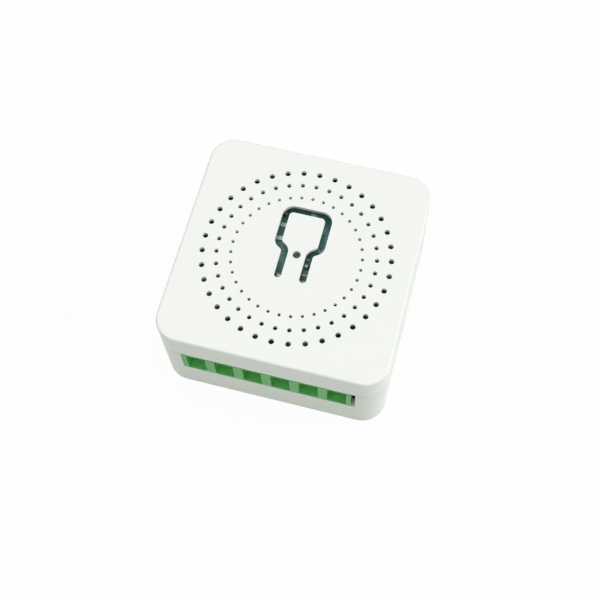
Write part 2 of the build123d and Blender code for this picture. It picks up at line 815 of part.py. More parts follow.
keep(can_capacitor(mains_can_place, mains_can_diameter, mains_can_gap), "mains_capacitor")
keep(can_capacitor(output_can_place, output_can_diameter, output_can_gap), "output_capacitor")

# Choke: a drum core with its winding in the waist
choke_top = board_bottom - lead_gap
choke_bottom = base_floor + choke_gap
with BuildPart() as choke_core:
    with BuildSketch(Plane.XY.offset(choke_bottom)):
        with Locations((choke_place, can_row)):
            Circle(choke_diameter / 2)
    extrude(amount=choke_top - choke_bottom)
    with BuildSketch(Plane.XY.offset(choke_bottom + choke_flange)):
        with Locations((choke_place, can_row)):
            Circle(choke_diameter / 2 + cut_overrun)
            Circle(choke_waist / 2, mode=Mode.SUBTRACT)
    extrude(amount=choke_top - choke_bottom - 2 * choke_flange, mode=Mode.SUBTRACT)
keep(choke_core, "choke_core")

with BuildPart() as choke_winding:
    with BuildSketch(Plane.XY.offset(choke_bottom + choke_flange)):
        with Locations((choke_place, can_row)):
            Circle(choke_diameter / 2 - winding_inset)
            Circle(choke_waist / 2 + fit_clearance, mode=Mode.SUBTRACT)
    extrude(amount=choke_top - choke_bottom - 2 * choke_flange)
keep(choke_winding, "choke_winding")

# Varistor: a coated disc on edge, whose coating runs up to the leads
varistor_top = board_bottom - lead_gap
varistor_centre = varistor_top - varistor_diameter / 2
with BuildPart() as varistor:
    with BuildSketch(Plane.YZ.offset(varistor_place)):
        with Locations((relay_row, varistor_centre)):
            Circle(varistor_diameter / 2)
    extrude(amount=varistor_thickness / 2, both=True)
    with BuildSketch(Plane.XY.offset(varistor_top)):
        with Locations((varistor_place, relay_row)):
            neck_depth = varistor_lead_share * varistor_diameter + 2 * lead_diameter
            Rectangle(varistor_neck_share * varistor_thickness, neck_depth)
    extrude(amount=-varistor_diameter / 2)
keep(varistor, "varistor")

# Fusible resistor: lying along the depth, with pressed end caps
resistor_axis = board_bottom - resistor_drop
with BuildPart() as fusible_resistor:
    with BuildSketch(Plane.XZ.offset(-relay_row)):
        with Locations((resistor_place, resistor_axis)):
            Circle(resistor_diameter / 2 - resistor_cap_step)
    extrude(amount=resistor_length / 2, both=True)
    for side in (-1, 1):
        cap_middle = relay_row + side * (resistor_length - resistor_cap) / 2
        with BuildSketch(Plane.XZ.offset(-cap_middle)):
            with Locations((resistor_place, resistor_axis)):
                Circle(resistor_diameter / 2)
        extrude(amount=resistor_cap / 2, both=True)
keep(fusible_resistor, "fusible_resistor")

# Leads of the wired parts: straight ones, and the resistor's that turn up to the board
with BuildPart() as component_leads:
    add(round_pins(can_leads + choke_leads + varistor_leads, board_bottom - lead_gap).part)
    for side in (-1, 1):
        lead_start = relay_row + side * resistor_length / 2
        lead_turn = relay_row + side * resistor_lead_offset
        with BuildLine(Plane.YZ.offset(resistor_place)) as lead_path:
            FilletPolyline(
                (lead_start, resistor_axis), (lead_turn, resistor_axis), (lead_turn, lead_top),
                radius=lead_bend,
            )
        with BuildSketch(Plane.XZ.offset(-lead_start)):
            with Locations((resistor_place, resistor_axis)):
                Circle(lead_radius)
        sweep(path=lead_path.line)
keep(component_leads, "component_leads")


def hanging_chip(place, row, length, width, height):
    """A chip under the board, with two flat feet along each long side."""
    with BuildPart() as chip:
        with BuildSketch(Plane.XY.offset(board_bottom)):
            with Locations((place, row)):
                Rectangle(length, width)
        extrude(amount=-height)
        with BuildSketch(Plane.XY.offset(board_bottom)):
            with Locations((place, row)):
                with GridLocations(foot_spacing_share * length, width, 2, 2):
                    Rectangle(foot_width, 2 * foot_length)
        extrude(amount=-foot_thickness)
    return chip


keep(hanging_chip(bridge_place, bridge_row, bridge_length, bridge_width, bridge_height), "bridge_rectifier")
converter = hanging_chip(converter_place, converter_row, converter_length, converter_width, converter_height)
keep(converter, "converter_chip")

# Radio board on edge under the main board, with its shield can and its row of pins
with BuildPart() as radio_board:
    with BuildSketch(Plane.XY.offset(base_floor + radio_gap)):
        with Locations((0, radio_face)):
            Rectangle(radio_width, radio_thickness, align=(Align.CENTER, Align.MIN))
    extrude(amount=component_room - radio_gap)
keep(radio_board, "radio_board")

shield_bottom = base_floor + radio_gap + shield_floor_gap
with BuildPart() as radio_shield:
    with BuildSketch(Plane.XY.offset(shield_bottom)):
        with Locations((0, radio_face)):
            Rectangle(shield_width, shield_depth, align=(Align.CENTER, Align.MAX))
    extrude(amount=board_bottom - shield_drop - shield_bottom)
    fillet(radio_shield.faces().sort_by(Axis.Y)[0].edges(), shield_round)
keep(radio_shield, "radio_shield")

with BuildPart() as radio_pins:
    with BuildSketch(Plane.XY.offset(board_bottom - radio_pin_hold)):
        with Locations(*radio_pins_at):
            Rectangle(radio_pin, radio_pin)
    extrude(amount=lead_top - board_bottom + radio_pin_hold)
keep(radio_pins, "radio_pins")

# Solder on top of the board: a cone round each lead
with BuildPart(Plane.XY.offset(board_top)) as solder_joints:
    with Locations(*thin_leads):
        Cone(thin_solder / 2, thin_solder_top / 2, solder_height, align=standing)
        Cylinder(thin_hole + fit_clearance, solder_height, align=standing, mode=Mode.SUBTRACT)
    with Locations(*thick_leads):
        Cone(thick_solder / 2, thick_solder_top / 2, solder_height, align=standing)
        Cylinder(thick_hole, solder_height, align=standing, mode=Mode.SUBTRACT)
keep(solder_joints, "solder_joints")

print(f"case {case_side:.2f} x {case_side:.2f} x {case_height:.2f}, seam at {seam:.2f}")
print(f"cage travel {cage_travel:.3f}, button arm {button_arm:.3f}, screw line {screw_line:.3f}")
print(f"poles at {[round(x, 3) for x in pole_places]}")
print(f"armature pivot {armature_pivot:.3f}, {relay_row:.3f}, {armature_top:.3f}")
print(f"wire mouths from {mouth_floor:.2f} to {mouth_top:.2f}, face at {housing_face:.2f}")
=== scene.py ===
import json
import math

import bmesh
import bpy
from mathutils import Matrix, Vector


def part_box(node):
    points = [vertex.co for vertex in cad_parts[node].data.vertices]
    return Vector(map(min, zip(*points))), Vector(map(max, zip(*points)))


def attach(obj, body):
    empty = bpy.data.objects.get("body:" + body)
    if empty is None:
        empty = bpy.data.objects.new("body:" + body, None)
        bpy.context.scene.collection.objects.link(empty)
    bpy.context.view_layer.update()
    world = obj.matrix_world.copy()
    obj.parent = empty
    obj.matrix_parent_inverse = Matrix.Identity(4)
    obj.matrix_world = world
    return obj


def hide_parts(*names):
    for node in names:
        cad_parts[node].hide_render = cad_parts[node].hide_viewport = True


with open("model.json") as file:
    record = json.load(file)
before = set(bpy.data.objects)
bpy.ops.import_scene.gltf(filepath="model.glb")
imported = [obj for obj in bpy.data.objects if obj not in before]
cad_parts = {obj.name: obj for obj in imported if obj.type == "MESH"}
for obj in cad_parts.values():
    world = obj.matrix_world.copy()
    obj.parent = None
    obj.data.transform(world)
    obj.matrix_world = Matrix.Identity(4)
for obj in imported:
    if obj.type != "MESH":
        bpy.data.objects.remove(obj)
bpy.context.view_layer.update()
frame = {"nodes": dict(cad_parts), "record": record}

# Smart relay module: camera, light and finishes, and the small wound, threaded and printed pieces inside.
# Metres. The frame is the module's own: origin at the centre of the underside, -Y the terminal side.

mm = 0.001
full_turn = 2 * math.pi
y_axis, z_axis = 1, 2
# Points nearer than these count as level, and as one point
level_within = 1e-6
one_point_within = 1e-7
# Steps of a full round in a large, a small and a tiny shape
large_round, small_round, tiny_round = 48, 32, 12


# Effects that the finishes share

def effect_group(name):
    """An empty effect with the inputs and outputs that every finish here shares."""
    group = bpy.data.node_groups.new(name, "ShaderNodeTree")
    face = group.interface
    face.new_socket("Coordinates", in_out="INPUT", socket_type="NodeSocketVector")
    face.new_socket("Colour", in_out="INPUT", socket_type="NodeSocketColor")
    face.new_socket("Shade", in_out="INPUT", socket_type="NodeSocketColor")
    for socket in ("Scale", "Rough Low", "Rough High", "Relief", "Depth"):
        face.new_socket(socket, in_out="INPUT", socket_type="NodeSocketFloat")
    face.new_socket("Colour", in_out="OUTPUT", socket_type="NodeSocketColor")
    face.new_socket("Roughness", in_out="OUTPUT", socket_type="NodeSocketFloat")
    face.new_socket("Normal", in_out="OUTPUT", socket_type="NodeSocketVector")
    entry = group.nodes.new("NodeGroupInput")
    leave = group.nodes.new("NodeGroupOutput")
    return group, entry, leave


def worked_out(tree, operation, *values):
    """The result of a Math node on numbers and sockets."""
    made = tree.nodes.new("ShaderNodeMath")
    made.operation = operation
    for place, value in enumerate(values):
        if isinstance(value, (int, float)):
            made.inputs[place].default_value = value
        else:
            tree.links.new(value, made.inputs[place])
    return made.outputs[0]


def noise_in(group, vector, scale, detail):
    """A noise texture that reads a vector and a scale socket."""
    noise = group.nodes.new("ShaderNodeTexNoise")
    noise.inputs["Detail"].default_value = detail
    group.links.new(vector, noise.inputs["Vector"])
    group.links.new(scale, noise.inputs["Scale"])
    return noise.outputs["Fac"]


def spread(group, value, low, high, start=0.3, end=0.7):
    """A value socket spread between two levels."""
    ramp = group.nodes.new("ShaderNodeMapRange")
    ramp.inputs["From Min"].default_value = start
    ramp.inputs["From Max"].default_value = end
    group.links.new(value, ramp.inputs["Value"])
    for socket, level in (("To Min", low), ("To Max", high)):
        if isinstance(level, (int, float)):
            ramp.inputs[socket].default_value = level
        else:
            group.links.new(level, ramp.inputs[socket])
    return ramp.outputs["Result"]


def put_out(group, entry, leave, tint, gloss, height, gloss_start=0.3, gloss_end=0.7):
    """Joins a mask for the colour, a value for the gloss and a height to the effect's outputs."""
    given = entry.outputs
    mix = group.nodes.new("ShaderNodeMix")
    mix.data_type = "RGBA"
    group.links.new(tint, mix.inputs["Factor"])
    group.links.new(given["Colour"], mix.inputs["A"])
    group.links.new(given["Shade"], mix.inputs["B"])
    group.links.new(mix.outputs["Result"], leave.inputs["Colour"])
    rough = spread(group, gloss, given["Rough Low"], given["Rough High"], gloss_start, gloss_end)
    group.links.new(rough, leave.inputs["Roughness"])
    bump = group.nodes.new("ShaderNodeBump")
    group.links.new(height, bump.inputs["Height"])
    group.links.new(given["Relief"], bump.inputs["Strength"])
    group.links.new(given["Depth"], bump.inputs["Distance"])
    group.links.new(bump.outputs["Normal"], leave.inputs["Normal"])


def moulded_effect():
    """Fine even grain of a moulded plastic, with a slow drift in its colour."""
    group, entry, leave = effect_group("moulded_grain")
    place, scale = entry.outputs["Coordinates"], entry.outputs["Scale"]
    drift_scale = worked_out(group, "MULTIPLY", scale, 0.05)
    slow = noise_in(group, place, drift_scale, detail=2.0)
    fine = noise_in(group, place, scale, detail=3.0)
    put_out(group, entry, leave, tint=spread(group, slow, 0.0, 1.0), gloss=fine, height=fine)
    return group


def rolled_effect():
    """Long fine streaks of rolled, drawn or pressed metal."""
    group, entry, leave = effect_group("rolled_streaks")
    place, scale = entry.outputs["Coordinates"], entry.outputs["Scale"]
    stretch = group.nodes.new("ShaderNodeMapping")
    stretch.inputs["Scale"].default_value = (0.08, 1.0, 1.0)
    group.links.new(place, stretch.inputs["Vector"])
    streaks = noise_in(group, stretch.outputs["Vector"], scale, detail=4.0)
    cloud_scale = worked_out(group, "MULTIPLY", scale, 0.15)
    clouds = noise_in(group, place, cloud_scale, detail=2.0)
    put_out(group, entry, leave, tint=spread(group, clouds, 0.0, 1.0), gloss=streaks, height=streaks)
    return group


def speckled_effect():
    """Grains and pits of a sintered, fired or cast surface."""
    group, entry, leave = effect_group("speckled_grain")
    cells = group.nodes.new("ShaderNodeTexVoronoi")
    group.links.new(entry.outputs["Coordinates"], cells.inputs["Vector"])
    group.links.new(entry.outputs["Scale"], cells.inputs["Scale"])
    pits = cells.outputs["Distance"]
    mask = spread(group, pits, 0.0, 1.0, start=0.1, end=0.6)
    put_out(group, entry, leave, tint=mask, gloss=pits, height=pits, gloss_start=0.0, gloss_end=0.7)
    return group


def tracked_effect(name, across, tilt):
    """Solder mask over copper tracks, a little proud and paler, on a board's two sides that face one axis."""
    group, entry, leave = effect_group(name)
    laid = group.nodes.new("ShaderNodeMapping")
    laid.inputs["Rotation"].default_value = (math.radians(tilt), 0, 0)
    group.links.new(entry.outputs["Coordinates"], laid.inputs["Vector"])
    runs = group.nodes.new("ShaderNodeTexBrick")
    runs.offset = 0.37
    runs.squash = 0.7
    for socket, value in (("Color1", 0.0), ("Color2", 0.0), ("Mortar", 1.0)):
        runs.inputs[socket].default_value = (value, value, value, 1.0)
    layout = {"Mortar Size": 0.07, "Mortar Smooth": 0.2, "Brick Width": 1.9, "Row Height": 0.8}
    for socket, value in layout.items():
        runs.inputs[socket].default_value = value
    group.links.new(laid.outputs["Vector"], runs.inputs["Vector"])
    group.links.new(entry.outputs["Scale"], runs.inputs["Scale"])
    surface = group.nodes.new("ShaderNodeNewGeometry")
    facing = group.nodes.new("ShaderNodeSeparateXYZ")
    group.links.new(surface.outputs["Normal"], facing.inputs["Vector"])
    flat = worked_out(group, "ABSOLUTE", facing.outputs[across])
    tracks = worked_out(group, "MULTIPLY", runs.outputs["Color"], flat)
    weave_scale = worked_out(group, "MULTIPLY", entry.outputs["Scale"], 4.0)
    weave = noise_in(group, entry.outputs["Coordinates"], weave_scale, detail=2.0)
    put_out(group, entry, leave, tint=tracks, gloss=weave, height=tracks)
    return group


def graded_effect(name, axis, start, end):
    """Even grain that goes from one colour to another across a stretch of one axis."""
    group, entry, leave = effect_group(name)
    split = group.nodes.new("ShaderNodeSeparateXYZ")
    group.links.new(entry.outputs["Coordinates"], split.inputs["Vector"])
    mask = spread(group, split.outputs[axis], 0.0, 1.0, start=start, end=end)
    fine = noise_in(group, entry.outputs["Coordinates"], entry.outputs["Scale"], detail=3.0)
    put_out(group, entry, leave, tint=mask, gloss=fine, height=fine)
    return group


moulded = moulded_effect()
rolled = rolled_effect()
speckled = speckled_effect()
tracked = tracked_effect("board_tracks", across="Z", tilt=0)
tracked_upright = tracked_effect("upright_board_tracks", across="Y", tilt=90)
# Painted light: the colour grows paler deeper than the terminal's front face, so the shaded cells look lit
painted_cell_light = graded_effect("painted_light_in_cells", axis="Y", start=-20.3 * mm, end=-19.5 * mm)
# Painted shade: the colour goes to a darker one from X 0 to 1 mm, for the switch leads on the right
painted_shade_right = graded_effect("painted_shade_across_x", axis="X", start=0.0, end=1.0 * mm)


def finish(name, effect, colour, shade, scale, rough, relief, depth=0.01, **own):
    """A material of one effect, with its own colours, scale per metre, gloss and relief."""
    made = bpy.data.materials.new(name)
    made.use_nodes = True
    nodes, links = made.node_tree.nodes, made.node_tree.links
    surface = nodes["Principled BSDF"]
    place = nodes.new("ShaderNodeTexCoord")
    grain = nodes.new("ShaderNodeGroup")
    grain.node_tree = effect
    links.new(place.outputs["Object"], grain.inputs["Coordinates"])
    grain.inputs["Colour"].default_value = (*colour, 1.0)
    grain.inputs["Shade"].default_value = (*shade, 1.0)
    grain.inputs["Scale"].default_value = scale
    grain.inputs["Rough Low"].default_value = rough[0]
    grain.inputs["Rough High"].default_value = rough[1]
    grain.inputs["Relief"].default_value = relief
    grain.inputs["Depth"].default_value = depth * mm
    links.new(grain.outputs["Colour"], surface.inputs["Base Color"])
    links.new(grain.outputs["Roughness"], surface.inputs["Roughness"])
    links.new(grain.outputs["Normal"], surface.inputs["Normal"])
    for socket, value in own.items():
        surface.inputs[socket.replace("_", " ")].default_value = value
    return made


cover_white = finish(
    "cover_white", moulded, (0.915, 0.938, 0.898), (0.905, 0.928, 0.888), 9000, (0.36, 0.44), 0.12,
    Specular_IOR_Level=0.4,
)
# Painted shade: the base's white is a little darker than the cover's, for the shade on its lower walls
base_white = finish(
    "base_white", moulded, (0.870, 0.903, 0.852), (0.860, 0.893, 0.842), 9000, (0.38, 0.46), 0.12,
    Specular_IOR_Level=0.4,
)
# Painted light: the paler second colour fills the cells behind the front face, which lie in shade
terminal_green = finish(
    "terminal_green", painted_cell_light, (0.110, 0.470, 0.120), (0.170, 0.620, 0.170), 7000, (0.36, 0.46), 0.15,
    Specular_IOR_Level=0.35,
    Subsurface_Weight=0.6, Subsurface_Radius=(0.8, 1.0, 0.8), Subsurface_Scale=1.2 * mm,
)
board_green = finish(
    "board_green", tracked, (0.084, 0.258, 0.232), (0.132, 0.335, 0.300), 1000, (0.25, 0.38), 0.4,
)
radio_green = finish(
    "radio_green", tracked_upright, (0.008, 0.035, 0.060), (0.020, 0.080, 0.110), 1400, (0.25, 0.38), 0.4,
)
zinc_steel = finish(
    "zinc_steel", rolled, (0.66, 0.65, 0.60), (0.58, 0.57, 0.52), 6000, (0.24, 0.40), 0.2, Metallic=1.0,
)
nickel_brass = finish(
    "nickel_brass", rolled, (0.70, 0.66, 0.55), (0.62, 0.57, 0.45), 5000, (0.24, 0.38), 0.2, Metallic=1.0,
)
tinned_copper = finish(
    "tinned_copper", rolled, (0.56, 0.59, 0.57), (0.46, 0.49, 0.47), 6000, (0.38, 0.54), 0.2, Metallic=1.0,
)
solder = finish(
    "solder", speckled, (0.42, 0.49, 0.46), (0.32, 0.39, 0.36), 5000, (0.42, 0.58), 0.2, Metallic=1.0,
)
black_plastic = finish(
    "black_plastic", moulded, (0.022, 0.022, 0.025), (0.030, 0.030, 0.033), 9000, (0.42, 0.55), 0.3,
)
relay_plastic = finish(
    "relay_plastic", moulded, (0.030, 0.030, 0.034), (0.040, 0.040, 0.044), 6000, (0.34, 0.46), 0.25,
)
spool_plastic = finish(
    "spool_plastic", moulded, (0.72, 0.69, 0.60), (0.68, 0.65, 0.56), 6000, (0.38, 0.48), 0.2,
)
copper_wire = finish(
    "copper_wire", rolled, (0.60, 0.22, 0.09), (0.48, 0.16, 0.06), 8000, (0.20, 0.30), 0.1, Metallic=1.0,
    Coat_Weight=0.6, Coat_Roughness=0.15,
)
soft_iron = finish(
    "soft_iron", rolled, (0.50, 0.50, 0.49), (0.42, 0.42, 0.41), 4000, (0.32, 0.48), 0.25, Metallic=1.0,
)
contact_brass = finish(
    "contact_brass", rolled, (0.70, 0.48, 0.20), (0.60, 0.40, 0.16), 6000, (0.26, 0.40), 0.2, Metallic=1.0,
)
can_sleeve = finish(
    "can_sleeve", moulded, (0.020, 0.025, 0.055), (0.028, 0.034, 0.070), 3000, (0.22, 0.32), 0.1,
    Coat_Weight=0.3, Coat_Roughness=0.2,
)
ferrite = finish(
    "ferrite", speckled, (0.060, 0.058, 0.056), (0.10, 0.096, 0.092), 4000, (0.55, 0.75), 0.5, depth=0.03,
)
disc_blue = finish(
    "disc_blue", moulded, (0.030, 0.095, 0.36), (0.038, 0.11, 0.40), 1500, (0.24, 0.36), 0.4, depth=0.05,
)
resistor_green = finish(
    "resistor_green", moulded, (0.16, 0.32, 0.22), (0.19, 0.36, 0.25), 2500, (0.26, 0.38), 0.3, depth=0.03,
)
led_lens = finish(
    "led_lens", moulded, (0.62, 0.66, 0.61), (0.55, 0.59, 0.53), 4000, (0.12, 0.20), 0.05,
    Transmission_Weight=0.35,
)
shield_steel = finish(
    "shield_steel", rolled, (0.66, 0.67, 0.67), (0.58, 0.59, 0.59), 3500, (0.26, 0.40), 0.15, Metallic=1.0,
)
# Painted shade: the switch leads' tin turns dark on the right, where they lie in shade
tin_with_painted_shade = finish(
    "tin_with_painted_shade", painted_shade_right, (0.58, 0.66, 0.64), (0.12, 0.21, 0.19), 5000, (0.48, 0.62), 0.15, Metallic=1.0,
)
chip_glaze = finish(
    "chip_glaze", moulded, (0.060, 0.105, 0.110), (0.070, 0.120, 0.125), 6000, (0.30, 0.45), 0.2,
)
print_white = finish(
    "print_white", moulded, (0.88, 0.94, 0.90), (0.80, 0.87, 0.83), 9000, (0.50, 0.62), 0.1,
)
can_end_metal = finish(
    "can_end_metal", rolled, (0.72, 0.73, 0.74), (0.64, 0.65, 0.66), 4000, (0.30, 0.44), 0.15, Metallic=1.0,
)
chip_ceramic = finish(
    "chip_ceramic", speckled, (0.42, 0.29, 0.17), (0.36, 0.25, 0.15), 9000, (0.40, 0.55), 0.2,
)
switch_steel = finish(
    "switch_steel", rolled, (0.40, 0.45, 0.43), (0.33, 0.38, 0.36), 5000, (0.46, 0.60), 0.15, Metallic=1.0,
)
band_brown = finish(
    "band_brown", moulded, (0.14, 0.05, 0.02), (0.17, 0.06, 0.025), 5000, (0.28, 0.38), 0.2,
)
gold_plate = finish(
    "gold_plate", rolled, (0.80, 0.58, 0.24), (0.72, 0.50, 0.18), 6000, (0.22, 0.34), 0.1, Metallic=1.0,
)

slot_finishes = dict(
    cover_white=cover_white, base_white=base_white, terminal_green=terminal_green, board_green=board_green,
    zinc_steel=zinc_steel, nickel_brass=nickel_brass, tinned_copper=tinned_copper, solder=solder,
    black_plastic=black_plastic, relay_plastic=relay_plastic, spool_plastic=spool_plastic,
    copper_wire=copper_wire, soft_iron=soft_iron, contact_brass=contact_brass, can_sleeve=can_sleeve,
    ferrite=ferrite, disc_blue=disc_blue, resistor_green=resistor_green, led_lens=led_lens,
    radio_green=radio_green, shield_steel=shield_steel, chip_ceramic=chip_ceramic, switch_steel=switch_steel,
)
node_slots = {part["node"]: part["material_slot"] for part in frame["record"]["subparts"]}
for node, solid in frame["nodes"].items():
    solid.data.materials.clear()
    solid.data.materials.append(slot_finishes[node_slots[node]])
frame["nodes"]["chip_resistors"].data.materials[0] = chip_glaze
# The switch leads get the tin with painted shade on their right side
frame["nodes"]["switch_leads"].data.materials[0] = tin_with_painted_shade


# Shapes that the pieces share

def piece(name, shape, material, body="root", smooth_below=35.0):
    """A finished mesh as a piece that rides on a body."""
    bmesh.ops.recalc_face_normals(shape, faces=shape.faces)
    mesh = bpy.data.meshes.new(name)
    shape.to_mesh(mesh)
    shape.free()
    mesh.shade_smooth()
    mesh.set_sharp_from_angle(angle=math.radians(smooth_below))
    mesh.materials.append(material)
    made = bpy.data.objects.new(name, mesh)
    bpy.context.scene.collection.objects.link(made)
    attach(made, body)
    return made


def extent(node):
    """A node's lowest and highest corner and its centre."""
    low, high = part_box(node)
    low, high = Vector(low), Vector(high)
    return low, high, (low + high) / 2


def solids_of(node):
    """The lowest and highest corner of each loose solid in a node."""
    shape = bmesh.new()
    shape.from_mesh(frame["nodes"][node].data)
    bmesh.ops.remove_doubles(shape, verts=shape.verts, dist=one_point_within)
    waiting, boxes = set(shape.verts), []
    while waiting:
        ends = [waiting.pop()]
        corners = []
        while ends:
            vert = ends.pop()
            corners.append(vert.co.copy())
            near = {other for edge in vert.link_edges for other in edge.verts} & waiting
            waiting -= near
            ends.extend(near)
        low = Vector(min(corner[k] for corner in corners) for k in range(3))
        high = Vector(max(corner[k] for corner in corners) for k in range(3))
        boxes.append((low, high))
    shape.free()
    return sorted(boxes, key=lambda box: tuple(box[0]))


def once(items):
    """The items in their order, each one once."""
    return list(dict.fromkeys(items))


def lies_at(item, level):
    """Whether all of an edge or a face lies at one height."""
    return all(abs(vert.co.z - level) < level_within for vert in item.verts)


def extrude_faces(shape, faces, move):
    """Extrudes faces as one region and moves the new ones."""
    made = bmesh.ops.extrude_face_region(shape, geom=faces)["geom"]
    verts = [item for item in made if isinstance(item, bmesh.types.BMVert)]
    bmesh.ops.translate(shape, verts=verts, vec=move)


def slab(shape, corners, move):
    """A flat outline extruded into a solid."""
    face = shape.faces.new([shape.verts.new(corner) for corner in corners])
    extrude_faces(shape, [face], move)


def rectangle(left, right, bottom, top):
    """The four corners of a rectangle, as pairs."""
    return [(left, bottom), (right, bottom), (right, top), (left, top)]


def turned(shape, profile, centre, steps, along=z_axis, closed=True):
    """A profile of radii and levels, turned all the way round a line through the centre."""
    verts = []
    for radius, level in profile:
        spot = centre + Vector((radius, 0, 0))
        spot[along] = level
        verts.append(shape.verts.new(spot))
    pairs = list(zip(verts, verts[1:]))
    if closed:
        pairs.append((verts[-1], verts[0]))
    edges = [shape.edges.new(pair) for pair in pairs]
    line = Vector((0, 0, 0))
    line[along] = 1
    bmesh.ops.spin(shape, geom=edges, cent=centre, axis=line, angle=full_turn, steps=steps, use_merge=True)


def wind_up(shape, ring, centre, angle, climb, steps):
    """Sweeps a closed ring of edges up round a vertical line and closes both its ends."""
    swept = bmesh.ops.spin(
        shape, geom=ring, cent=(centre.x, centre.y, 0), axis=(0, 0, 1), angle=angle,
        dvec=(0, 0, climb / steps), steps=steps, use_merge=False,
    )["geom_last"]
    bmesh.ops.holes_fill(shape, edges=ring)
    bmesh.ops.holes_fill(shape, edges=[item for item in swept if isinstance(item, bmesh.types.BMEdge)])


# Windings: the outer layer of round wire, over a plain sleeve that stands for the turns below it
sleeve_sunk_in_wires = 1.6
wire_sides = 6
wire_steps_a_turn = 20


def winding(name, node, bore, wire, pitch):
    """A winding of a wire with a given radius, its turns one pitch apart."""
    low, high, centre = extent(node)
    outer = (high.x - low.x) / 2
    shape = bmesh.new()
    sleeve = rectangle(bore, outer - sleeve_sunk_in_wires * wire, low.z, high.z)
    turned(shape, sleeve, centre, steps=large_round)
    upright = Matrix.Rotation(math.pi / 2, 4, "X")
    place = Matrix.Translation((centre.x + outer - wire, centre.y, low.z + wire))
    verts = bmesh.ops.create_circle(shape, radius=wire, segments=wire_sides, matrix=place @ upright)["verts"]
    ring = once(edge for vert in verts for edge in vert.link_edges)
    climb = high.z - low.z - 2 * wire
    turns = climb / pitch
    wind_up(shape, ring, centre, full_turn * turns, climb, int(turns * wire_steps_a_turn))
    wound = piece(name, shape, copper_wire, smooth_below=60.0)
    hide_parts(node)


winding("choke_turns", "choke_winding", bore=1.75 * mm, wire=0.16 * mm, pitch=0.33 * mm)
winding("relay_turns", "relay_winding", bore=1.85 * mm, wire=0.12 * mm, pitch=0.25 * mm)


# Terminal screws with a slotted head and a rolled thread
screw_head_height = 1.02 * mm
screw_slot_width = 0.6 * mm
screw_slot_depth = 0.5 * mm
head_edge_round = 0.12 * mm
rim_share = 0.98
shank_radius = 1.25 * mm
shank_sunk = 0.1 * mm
tip_chamfer = 0.15 * mm
thread_depth = 0.2 * mm
thread_pitch = 0.45 * mm
thread_start = 0.1 * mm
thread_half_width = 0.2 * mm
thread_sunk = 0.05 * mm
thread_runout = 1.2
thread_steps_a_turn = 24


def screw_head(shape, centre, radius, bottom, top):
    """A round head with a rounded rim, whose slot opens downwards."""
    slot_floor = bottom + screw_slot_depth
    half_slot = screw_slot_width / 2

    def beside_the_slot():
        """The faces at the height of the slot's floor that lie outside the slot."""
        level = [face for face in shape.faces if lies_at(face, slot_floor)]
        return [face for face in level if abs(face.calc_center_median().y - centre.y) > half_slot]

    def is_on_the_rim(vert):
        """Whether a corner is on the head's round edge."""
        return (vert.co.xy - centre.xy).length > radius * rim_share

    place = Matrix.Translation((centre.x, centre.y, slot_floor))
    bmesh.ops.create_circle(shape, cap_ends=True, radius=radius, segments=large_round, matrix=place)
    extrude_faces(shape, list(shape.faces), (0, 0, top - slot_floor))
    for side in (-1, 1):
        underside = [face for face in shape.faces if lies_at(face, slot_floor)]
        around = underside + once(edge for face in underside for edge in face.edges)
        around += once(vert for face in underside for vert in face.verts)
        cut = (centre.x, centre.y + side * half_slot, 0)
        bmesh.ops.bisect_plane(shape, geom=around, dist=one_point_within, plane_co=cut, plane_no=(0, side, 0))
    for land in beside_the_slot():
        extrude_faces(shape, [land], (0, 0, bottom - slot_floor))
    bmesh.ops.delete(shape, geom=beside_the_slot(), context="FACES_ONLY")
    rim = [edge for edge in shape.edges if lies_at(edge, bottom) and all(map(is_on_the_rim, edge.verts))]
    bmesh.ops.bevel(
        shape, geom=rim, offset=head_edge_round, offset_type="OFFSET", affect="EDGES", segments=3,
        profile=0.5, material=-1, clamp_overlap=True,
    )


def screw_shank(shape, centre, foot, tip):
    """The round core of the shank, closed inside the head and at its tip."""
    core = shank_radius - thread_depth
    profile = [(core, foot), (core, tip - tip_chamfer), (core - tip_chamfer, tip)]
    turned(shape, profile, centre, steps=small_round, closed=False)
    for level in (foot, tip):
        ring = [edge for edge in shape.edges if edge.is_boundary and lies_at(edge, level)]
        bmesh.ops.holes_fill(shape, edges=ring)


def screw_thread(shape, centre, start, turns):
    """A sharp ridge wound up round the core."""
    root = centre.x + shank_radius - thread_depth - thread_sunk
    crest = centre.x + shank_radius
    corners = [(root, start), (crest, start + thread_half_width), (root, start + 2 * thread_half_width)]
    verts = [shape.verts.new((x, centre.y, z)) for x, z in corners]
    ridge = [shape.edges.new((verts[n], verts[(n + 1) % 3])) for n in range(3)]
    steps = int(turns * thread_steps_a_turn)
    wound = steps / thread_steps_a_turn
    wind_up(shape, ridge, centre, full_turn * wound, thread_pitch * wound, steps)


def terminal_screw(number):
    """One screw, head down, with its thread climbing to the tip."""
    node = f"terminal_screw_{number}"
    low, high, centre = extent(node)
    head_top = low.z + screw_head_height
    shape = bmesh.new()
    screw_head(shape, centre, (high.x - low.x) / 2, low.z, head_top)
    screw_shank(shape, centre, head_top - shank_sunk, high.z)
    turns = (high.z - head_top - thread_runout * thread_pitch) / thread_pitch
    screw_thread(shape, centre, head_top + thread_start, turns)
    made = piece(f"threaded_screw_{number}", shape, zinc_steel, body=node)
    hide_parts(node)


for number in range(1, 7):
    terminal_screw(number)


board_top = extent("main_board")[1].z
chip_boxes = solids_of("chip_resistors") + solids_of("chip_capacitors")
# The part of the board that shows through the slot, where the photograph says what there is
shown_low = Vector((-6 * mm, -5 * mm, 0))
shown_high = Vector((6 * mm, 10 * mm, 0))

